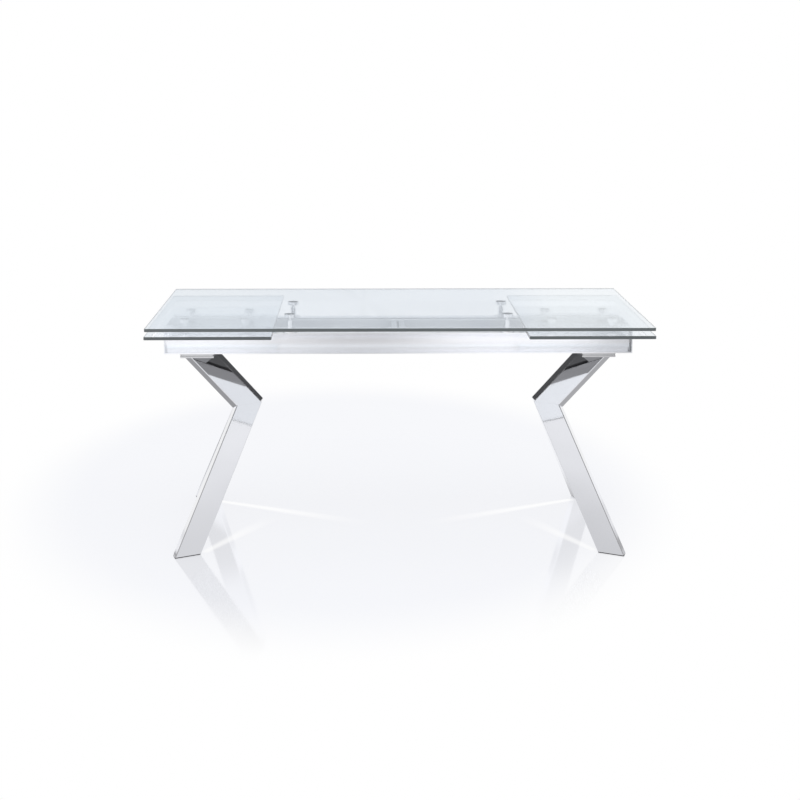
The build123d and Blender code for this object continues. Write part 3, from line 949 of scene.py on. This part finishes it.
# Legs
@dataclass
class Leg:
    """A leg of two mitred tubes: a shank from the floor to the knee, and an arm out and up.

    The foot is the outer front corner of the shank on the floor.  The spare is what a tube has
    beyond each end before it is cut.  A face is in the outer front corner of a tube when its
    normal has more than the corner turn both outwards and to the front; on the shank, those
    faces carry a painted dark reflection.
    """

    foot: Triple = (0.729, -0.406, 0.0)
    splay: float = 30.0
    lean: float = 23.0
    shank_rake: float = 34.0
    arm_rake: float = 36.3
    shank_length: float = 0.574
    width: float = 0.077
    depth: float = 0.036
    corner: float = 0.0025
    corner_steps: int = 5
    corner_turn: float = 0.1
    seam: float = 0.0003
    spare: float = 0.231
    pad_inset: float = 0.001
    pad_round: float = 0.0003

    @property
    def face(self) -> Matrix:
        """The plane of the front face: X level and outwards, Y up the face, Z out of it."""
        splay = math.radians(self.splay)
        lean = math.radians(self.lean)
        across = Vector((math.cos(splay), -math.sin(splay), 0.0))
        out = Vector((
            -math.sin(splay) * math.cos(lean), -math.cos(splay) * math.cos(lean), math.sin(lean)))
        turn = Matrix((across, out.cross(across), out)).transposed().to_4x4()
        return Matrix.Translation(self.foot) @ turn

    def way(self, rake: float) -> Vector:
        """The direction in the plane of the face that leans outwards by an angle in degrees."""
        return Vector((math.sin(math.radians(rake)), math.cos(math.radians(rake)), 0.0))

    @property
    def knee(self) -> Vector:
        """The outer corner of the knee, in the plane of the face."""
        return self.way(-self.shank_rake) * self.shank_length

    @property
    def mitre(self) -> Vector:
        """The normal of the knee's mitre, towards the arm, in the plane of the face."""
        return (self.way(-self.shank_rake) + self.way(self.arm_rake)).normalized()

    def tube(self, start: Vector, way: Vector, length: float, inset: float = 0.0) -> Shape:
        """A round-cornered tube whose outer edge runs from a point of the face.

        Its outer front corner has the second material number, which the shank paints with a dark
        reflection.

        Args:
            start: where its outer edge starts, in the plane of the face.
            way: the direction of the tube, in the plane of the face.
            length: its length.
            inset: how much smaller the section is all round.

        Returns:
            The closed shape, in the table's frame.
        """
        inwards = Vector((-way.y, way.x, 0.0))
        middle = start + inwards * self.width / 2 - Vector((0.0, 0.0, self.depth / 2))
        basis = Matrix((inwards, UP, way)).transposed().to_4x4()
        half = Vector((self.width / 2 - inset, self.depth / 2 - inset, 0.0))
        shape = block(-half, half + Vector((0.0, 0.0, length)))
        ease(shape, along(shape, 2), self.corner, self.corner_steps)
        shape.normal_update()
        for face in shape.faces:
            face.material_index = int(min(-face.normal.x, face.normal.y) > self.corner_turn)
        place = self.face @ Matrix.Translation(middle) @ basis
        bmesh.ops.transform(shape, matrix=place, verts=shape.verts)
        bmesh.ops.recalc_face_normals(shape, faces=shape.faces)
        return shape

    def cut_ends(self, shape: Shape, side: float, level: float) -> Shape:
        """Cut a tube at the knee's mitre and at a height, and break the rim at the mitre.

        Args:
            shape: the tube, changed in place.
            side: 1 for the shank, below the mitre, or -1 for the arm, above it.
            level: the height of the tube's other end.

        Returns:
            The same shape.
        """
        point = self.face @ self.knee
        normal = self.face.to_3x3() @ self.mitre
        cut(shape, point, normal * side)
        cut(shape, UP * level, UP * -side)
        rim = [e for e in corners(shape, angle=20.0)
               if all(abs((v.co - point).dot(normal)) < IN_PLANE for v in e.verts)]
        ease(shape, rim, self.seam, steps=1)
        return shape

    def shank(self, floor: float) -> Shape:
        """The lower tube, from the foot pad to the knee.

        Args:
            floor: the height of the top of the foot pad.

        Returns:
            The closed shape.
        """
        way = self.way(-self.shank_rake)
        shape = self.tube(way * -self.spare, way, self.shank_length + 2 * self.spare)
        return self.cut_ends(shape, 1.0, floor)

    def arm(self, top: float) -> Shape:
        """The upper tube, from the knee to the plate.

        Args:
            top: the height of the underside of the plate.

        Returns:
            The closed shape.
        """
        way = self.way(self.arm_rake)
        shape = self.tube(self.knee - way * self.spare, way, self.shank_length + self.spare)
        return self.cut_ends(shape, -1.0, top)

    def glide(self, top: float) -> Shape:
        """The plastic pad under the foot.

        Args:
            top: the height of the pad's top.

        Returns:
            The closed shape.
        """
        way = self.way(-self.shank_rake)
        shape = self.tube(way * -self.spare, way, 2 * self.spare, self.pad_inset)
        cut(shape, Vector(), -UP)
        cut(shape, UP * top, UP)
        ease(shape, corners(shape, angle=50.0), self.pad_round, steps=2)
        return shape

    def build(self) -> None:
        """Build the four legs."""
        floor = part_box("front_right_leg_shank")[0].z
        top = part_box("front_right_leg_arm")[1].z
        steel, plastic = Slot.POLISHED_STEEL, Slot.FOOT_PLASTIC
        for side in Side:
            for end in End:
                for word, shape, slot, finishes in (
                    ("leg_shank", self.shank(floor), steel, (LEG_STEEL, CORNER_PAINTED_REFLECTION)),
                    ("leg_arm", self.arm(top), steel, (LEG_STEEL, LEG_STEEL)),
                    ("foot_pad", self.glide(floor), plastic, (FOOT_PLASTIC, FOOT_PLASTIC)),
                ):
                    node = f"{side.word}_{end.word}_{word}"
                    make_piece(node, "piece", mirrored(shape, end, side), finishes)


@dataclass
class LegPlates:
    """The plate on each pair of legs, and the block under the beam that it is drawn up to."""

    plate_round: float = 0.0006
    # faces that point down more than this get painted shade
    underside: float = -0.9

    def build(self) -> None:
        """Build the plates and blocks of both ends, with painted shade underneath."""
        for end in End:
            for word in ("leg_flange", "leg_bracket"):
                node = f"{end.word}_{word}"
                shape = eased_copy(node, self.plate_round)
                shape.normal_update()
                for face in shape.faces:
                    face.material_index = int(face.normal.z < self.underside)
                make_piece(node, "steel", shape, (PLATE_STEEL, UNDERSIDE_PAINTED_SHADE))


# Leaves
@dataclass
class Leaf:
    """A sliding leaf: its glass, its posts and the runners that carry it."""

    end: End
    post: GlassPost
    post_x: Pair = (0.510, 0.710)
    runner_y: float = 0.104
    runner_round: float = 0.0003

    def posts(self) -> Shape:
        """The leaf's four posts.

        Returns:
            One shape with all four.
        """
        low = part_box(f"{self.end.word}_front_runner")[1].z
        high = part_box(f"{self.end.word}_leaf_glass")[0].z
        return gathered(
            self.post.turn((self.end.value * x, y), low, high)
            for x in self.post_x for y in (-self.runner_y, self.runner_y))

    def build(self) -> None:
        """Build the leaf's pieces in the places of their solids."""
        body, word = self.end.leaf_body, self.end.word
        GlassSheet(f"{word}_leaf_glass", Slot.LEAF_GLASS, body).build()
        make_piece(f"{word}_leaf_posts", "turned", self.posts(),
                   (POST_STEEL,), body)
        for side in Side:
            node = f"{word}_{side.word}_runner"
            shape = eased_copy(node, self.runner_round, steps=1)
            make_piece(node, "tube", shape, (RUNNER_METAL,), body)


# Studio
@dataclass
class Softbox:
    """A soft lamp over the front of the table, which metal and glass do not show."""

    name: str = "overhead_softbox"
    at: Triple = (0.3, -1.9, 3.6)
    aim: Triple = (0.0, 0.2, 0.4)
    size: Pair = (4.0, 3.0)
    radiance: float = 1.2

    def build(self) -> None:
        """Hang the lamp and turn it to what it lights."""
        lamp = bpy.data.lights.new(self.name, "AREA")
        lamp.shape = "RECTANGLE"
        lamp.size, lamp.size_y = self.size
        lamp.energy = self.radiance * math.pi * self.size[0] * self.size[1]
        holder = linked(self.name, lamp)
        holder.visible_glossy = False
        holder.visible_transmission = False
        holder.location = self.at
        way = Vector(self.aim) - Vector(self.at)
        holder.rotation_euler = way.to_track_quat("-Z", "Y").to_euler()


@dataclass(frozen=True)
class Streak:
    """A streak of light that a polished leg throws on the floor, drawn for the right-hand side.

    It spreads by a multiple of its width along its length, and fades from a part of it on.
    """

    start: Pair
    end: Pair
    width: float
    strength: float
    spread: float = 1.5
    core: Pair = (0.1, 1.0)
    begin: Pair = (-0.02, 0.01)
    fade_from: float = 0.25

    def lay_out(self, bench: ShaderBench, x: Socket, y: Socket) -> Socket:
        """Lay out the streak on both sides of the middle.

        Args:
            bench: the floor's nodes.
            x: where the floor's point is along the table.
            y: where it is across the table.

        Returns:
            How much of the streak there is, from 0 to 1.
        """
        start, end = Vector(self.start), Vector(self.end)
        length = (end - start).length
        way = (end - start) / length
        x = bench.maths("SUBTRACT", bench.maths("ABSOLUTE", x), start.x)
        y = bench.maths("SUBTRACT", y, start.y)
        run = bench.maths("MULTIPLY_ADD", x, way.x, bench.maths("MULTIPLY", y, way.y))
        off = bench.maths("MULTIPLY_ADD", x, -way.y, bench.maths("MULTIPLY", y, way.x))
        half = bench.maths("MULTIPLY_ADD", run, self.spread * self.width / length, self.width)
        part = bench.maths("DIVIDE", bench.maths("ABSOLUTE", off), half)
        core = bench.between(part, self.core, (self.strength, 0.0))
        fade = bench.between(run, (self.fade_from * length, length), (1.0, 0.0))
        begun = bench.between(run, self.begin)
        return bench.maths("MULTIPLY", core, bench.maths("MULTIPLY", fade, begun))


@dataclass(frozen=True)
class FrontLight:
    """How bright and how cool metal mirrors the room in front of the table.

    A ray that comes out of the cove is lifted.  The returns say how often such a ray has been
    turned back, and how far from that it may be.
    """

    gain: float = 1.1
    tint: Colour = (0.99, 0.995, 1.02)
    return_gain: float = 1.22
    returns: Pair = (3.0, 1.5)

    def lit(self, bench: ShaderBench, tone: Socket) -> Socket:
        """Tint a tone, and lift it where the cove has turned the ray back more than once.

        Args:
            bench: the nodes of the world or the floor.
            tone: the colour socket of what is in front.

        Returns:
            The colour socket.
        """
        again = bench.maths("COMPARE", bench.ray("Glossy Depth"), *self.returns)
        lift = bench.between(again, (0.0, 1.0), (1.0, self.return_gain))
        return bench.shaded(bench.shaded(tone, self.tint), lift)


@dataclass
class Surround:
    """The world: white where it is seen, toned where it is mirrored, plain light elsewhere.

    Its tones go by the parts of the direction along X, Y and Z.  What the fascia mirrors of the
    room in front changes along the table, so those tones are stops along X.  The legs mirror the
    slants on both sides of them, each a span of Z with the span of tones that it goes through.
    """

    ambient: float = 0.66
    front: FrontLight = FrontLight()
    front_edge: Pair = (-0.25, 0.0)
    sky_gain: float = 1.6
    sky_rise: Pair = (0.3, 0.6)
    stops: Stops = (
        (0.0, 1.0), (0.30, 1.0), (0.40, 0.77), (0.4404, 0.96), (0.4449, 1.0), (0.4599, 1.0),
        (0.4689, 0.81), (0.4808, 0.68), (0.4928, 0.61), (0.5048, 0.62), (0.5168, 0.74),
        (0.5288, 0.83), (0.5408, 0.98), (0.5528, 1.0), (0.5648, 0.79), (0.5708, 0.62),
        (0.5753, 0.47), (0.5783, 0.43), (0.62, 0.55), (0.70, 0.73), (0.80, 1.0), (1.0, 1.0))
    left_to_right: Pair = (-0.04, 0.07)
    left_slant: tuple[Pair, Pair] = ((0.444, 0.49), (0.72, 0.95))
    right_slant: tuple[Pair, Pair] = ((0.43, 0.48), (0.785, 0.985))
    slants_from: Pair = (0.45, 0.65)
    behind_tone: tuple[Colour, Colour, Colour] = (
        (0.755, 0.80, 0.848), (0.725, 0.771, 0.83), (0.87, 0.902, 0.925))
    behind_middle: float = 0.02
    behind_sides: Pair = (0.05, 0.10)
    behind_rise: Pair = (0.22, 0.50)
    overhead_tone: tuple[Colour, Colour] = ((0.85, 0.85, 0.86), (0.42, 0.42, 0.43))
    overhead_sides: Pair = (-0.4, 0.4)
    overhead_rise: Pair = (0.68, 0.78)

    def ahead(self, bench: ShaderBench, x: Socket, z: Socket) -> Socket:
        """What metal mirrors of the room in front of the table.

        Args:
            bench: the world's nodes.
            x: the part of the direction along X.
            z: the part of it along Z.

        Returns:
            The colour socket.
        """
        row = bench.ramp(x, self.stops)
        slant = bench.blend(
            bench.between(x, self.left_to_right),
            bench.between(z, *self.left_slant), bench.between(z, *self.right_slant))
        aside = bench.between(bench.maths("ABSOLUTE", x), self.slants_from)
        gain = bench.between(z, self.sky_rise, (self.front.gain, self.sky_gain))
        return bench.shaded(self.front.lit(bench, row), bench.blend(aside, gain, slant))

    def behind(self, bench: ShaderBench, x: Socket, z: Socket) -> Socket:
        """What glass mirrors of the room behind the table.

        Args:
            bench: the world's nodes.
            x: the part of the direction along X.
            z: the part of it along Z.

        Returns:
            The colour socket.
        """
        left, middle, right = self.behind_tone
        sides = bench.blend(bench.between(x, self.left_to_right), left, right)
        off_middle = bench.between(bench.distance(x, self.behind_middle), self.behind_sides)
        low = bench.between(z, self.behind_rise, (1.0, 0.0))
        low = bench.maths("MULTIPLY", low, bench.ray("Is Singular Ray"))
        return bench.blend(low, WHITE, bench.blend(off_middle, middle, sides))

    def build(self) -> None:
        """Make the world."""
        world = bpy.data.worlds.new("studio_surround")
        world.use_nodes = True
        bpy.context.scene.world = world
        bench = ShaderBench(world.node_tree, "OutputWorld")
        x, y, z = bench.split(bench.tap("TexCoord", {}, "Generated"))
        front = bench.between(y, self.front_edge, (1.0, 0.0))
        level = bench.blend(front, self.behind(bench, x, z), self.ahead(bench, x, z))
        overhead = bench.blend(bench.between(x, self.overhead_sides), *self.overhead_tone)
        tone = bench.blend(bench.between(z, self.overhead_rise), level, overhead)
        tone = bench.blend(bench.turned_back(), WHITE, tone)
        light = bench.tap("Background", {"Color": WHITE, "Strength": self.ambient})
        shown = bench.tap("Background", {"Color": tone, "Strength": 1.0})
        bench.show(bench.either(bench.seen(), light, shown))


@dataclass(frozen=True)
class WhiteGloss(Finish):
    """The finish of a glossy white floor that keeps the table's shadow.

    Beyond the patch near the table it turns to plain white, or to tones where metal mirrors
    it.  Those carry on the surround's tones as rays from the apex, with painted shade beside
    each leg.
    """

    patch_middle: Pair = (-0.2, 0.6)
    patch_size: Pair = (1.3, 2.0)
    patch_fade: Pair = (0.72, 1.0)
    tone: tuple[Colour, Colour] = ((0.94, 0.95, 0.988), (0.925, 0.935, 0.978))
    tone_noise: Pair = (1.5, 2.0)
    lift: float = 0.86
    sheen: Pair = (0.05, 0.08)
    sheen_noise: Pair = (3.0, 2.0)
    sheen_ior: float = 1.45
    streaks: tuple[Streak, ...] = (
        Streak((0.64, 0.30), (0.075, -0.015), 0.022, 0.9),
        Streak((0.64, -0.33), (0.42, 0.12), 0.020, 0.65),
    )
    front: FrontLight = FrontLight()
    front_fade: Pair = (-0.4, 0.0)
    apex: Pair = (-0.115, 5.25)
    stops: Stops = (
        (0.0, 1.0), (0.30, 1.0), (0.40, 0.77), (0.4404, 0.97), (0.4449, 1.0), (0.4599, 1.0),
        (0.4689, 0.80), (0.4808, 0.67), (0.4928, 0.57), (0.5048, 0.55), (0.5168, 0.71),
        (0.5288, 0.95), (0.5408, 1.0), (0.5528, 1.0), (0.5648, 1.0), (0.5708, 0.93),
        (0.5753, 0.69), (0.5783, 0.56), (0.62, 0.64), (0.70, 0.73), (0.85, 0.95), (1.0, 0.82))
    # tones painted darker beside each leg, as shade on the floor that metal mirrors
    beside_painted_shade: tuple[Colour, Colour] = ((0.37, 0.37, 0.38), (0.46, 0.46, 0.47))
    beside_sides: Pair = (-0.5, 0.5)
    beside_middle: Pair = (1.12, 0.25)
    beside_fade: tuple[Pair, Pair] = ((0.22, 0.34), (0.25, 0.45))

    def near(self, bench: ShaderBench, x: Socket, y: Socket) -> Socket:
        """The floor near the table, with the streaks of light on it.

        Args:
            bench: the floor's nodes.
            x: where the floor's point is along the table.
            y: where it is across the table.

        Returns:
            The shader.
        """
        at = bench.place()
        tone = bench.blend(bench.cloud(at, *self.tone_noise), *self.tone)
        matte = bench.tap("BsdfDiffuse", {"Color": tone})
        lift = bench.maths("MULTIPLY", bench.seen(), self.lift)
        lifted = bench.either(lift, matte, bench.glow(tone))
        rough = bench.between(bench.cloud(at, *self.sheen_noise), CLOUD_SPAN, self.sheen)
        sheen = bench.tap("BsdfGlossy", {"Color": WHITE, "Roughness": rough})
        glance = bench.tap("Fresnel", {"IOR": self.sheen_ior})
        glossy = bench.either(glance, lifted, sheen)
        streaks = bench.maths("MAXIMUM", *(s.lay_out(bench, x, y) for s in self.streaks))
        shown = bench.maths("MULTIPLY", bench.seen(), streaks)
        return bench.either(shown, glossy, bench.glow(WHITE))

    def mirrored_tone(self, bench: ShaderBench, x: Socket, y: Socket) -> Socket:
        """What metal mirrors of the floor.

        Args:
            bench: the floor's nodes.
            x: where the floor's point is along the table.
            y: where it is across the table.

        Returns:
            The colour socket.
        """
        depth = bench.maths("SUBTRACT", self.apex[1], y)
        slope = bench.maths("DIVIDE", bench.maths("SUBTRACT", x, self.apex[0]), depth)
        rays = bench.ramp(slope, self.stops)
        gain = bench.between(y, self.front_fade, (self.front.gain, 1.0))
        toned = bench.shaded(self.front.lit(bench, rays), gain)
        aside = bench.distance(bench.maths("ABSOLUTE", x), self.beside_middle[0])
        along_it = bench.distance(y, self.beside_middle[1])
        beside = bench.maths("MULTIPLY", *(
            bench.between(far, fade, (1.0, 0.0))
            for far, fade in zip((aside, along_it), self.beside_fade)))
        # painted shade beside each leg, darker towards the left end
        dark = bench.blend(bench.between(x, self.beside_sides), *self.beside_painted_shade)
        return bench.blend(beside, toned, dark)

    def off_patch(self, bench: ShaderBench) -> Socket:
        """How far a point is beyond the patch near the table.

        Args:
            bench: the floor's nodes.

        Returns:
            The value socket, from 0 in the patch to 1 away from it.
        """
        shrink = [1.0 / size for size in self.patch_size]
        shift = [-middle * scale for middle, scale in zip(self.patch_middle, shrink)]
        spot = bench.place((*shrink, 1.0), (*shift, 0.0))
        length = bench.tap("VectorMath", {0: spot}, "Value", operation="LENGTH")
        return bench.between(length, self.patch_fade)

    def lay_out(self, bench: ShaderBench) -> None:
        """Lay out the floor near the table, and what stands for it further off and in mirrors."""
        x, y, _ = bench.split(bench.place())
        mirrored_ray = bench.turned_back()
        shown = bench.glow(bench.blend(mirrored_ray, WHITE, self.mirrored_tone(bench, x, y)))
        far = bench.maths("MAXIMUM", self.off_patch(bench), mirrored_ray)
        share = bench.maths("MULTIPLY", far, bench.seen())
        bench.show(bench.either(share, self.near(bench, x, y), shown))


@dataclass
class Floor:
    """A wide level floor, a little lower than the feet."""

    finish: Finish = WhiteGloss("white_gloss_floor")
    reach: float = 30.0
    squares: int = 4
    drop: float = 0.0002

    def build(self) -> None:
        """Lay the floor."""
        plane = bmesh.new()
        bmesh.ops.create_grid(
            plane, x_segments=self.squares, y_segments=self.squares, size=self.reach)
        bmesh.ops.translate(plane, verts=plane.verts, vec=(0.0, 0.0, -self.drop))
        floor = meshed("studio_floor", plane, [material_of(self.finish)])


@dataclass
class StandCamera:
    """The camera: where it stands, and how it is turned in degrees."""

    at: Triple = (-0.115, -5.523, 1.594)
    down: float = 11.82
    towards_right: float = 1.27
    roll: float = 0.08
    lens: float = 74.09
    sensor_width: float = 36.0

    def build(self) -> None:
        """Set up the camera and make it the scene's."""
        down, yaw, roll = map(math.radians, (self.down, self.towards_right, self.roll))
        ahead = Vector((
            math.sin(yaw) * math.cos(down), math.cos(yaw) * math.cos(down), -math.sin(down)))
        level = ahead.cross(UP).normalized()
        upright = level.cross(ahead)
        right = level * math.cos(roll) + upright * math.sin(roll)
        up = upright * math.cos(roll) - level * math.sin(roll)
        camera = bpy.data.cameras.new("studio_camera")
        camera.lens = self.lens
        camera.sensor_width = self.sensor_width
        holder = linked("studio_camera", camera)
        turn = Matrix((right, up, -ahead)).transposed().to_4x4()
        holder.matrix_world = Matrix.Translation(self.at) @ turn
        bpy.context.scene.camera = holder


@dataclass
class Studio:
    """A pale room: a surround, a glossy floor, a soft lamp and the camera."""

    surround: Surround
    floor: Floor
    lamp: Softbox
    camera: StandCamera
    max_bounces: int = 16
    glossy_bounces: int = 8
    transmission_bounces: int = 14

    def build(self) -> None:
        """Build the room and set how far its light is followed."""
        for part in (self.surround, self.floor, self.lamp, self.camera):
            part.build()
        scene = bpy.context.scene
        scene.view_settings.view_transform = "Standard"
        scene.cycles.caustics_refractive = False
        scene.cycles.caustics_reflective = False
        scene.cycles.max_bounces = self.max_bounces
        scene.cycles.glossy_bounces = self.glossy_bounces
        scene.cycles.transmission_bounces = self.transmission_bounces


# Whole
def dress_carried_nodes() -> None:
    """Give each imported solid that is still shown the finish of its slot."""
    by_slot = {slot.value: finish for slot, finish in CARRIED_FINISH.items()}
    for name, node in sorted(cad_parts.items()):
        finish = by_slot.get(node.material_slots[0].material.name)
        if finish is None:
            continue
        if name.endswith(BRACES):
            finish = BRACE_STEEL
        node.material_slots[0].material = material_of(finish)
        log.info("%s keeps its solid, in %s", name, finish.name)


def write_sizes() -> None:
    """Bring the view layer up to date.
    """
    bpy.context.view_layer.update()


def main() -> None:
    """Build the table in order, from the top down, and then the room round it."""
    logging.basicConfig(level=logging.INFO, format="%(name)s: %(message)s")
    GlassSheet("main_glass", Slot.MAIN_GLASS).build()
    TopPosts(GlassPost(neck_height=0.009, foot=(0.022, 0.004))).build()
    for end in End:
        Leaf(end, GlassPost(neck_height=0.006)).build()
    Beam().build()
    LegPlates().build()
    Leg().build()
    dress_carried_nodes()
    Studio(Surround(), Floor(), Softbox(), StandCamera()).build()
    write_sizes()


if __name__ == "__main__":
    main()
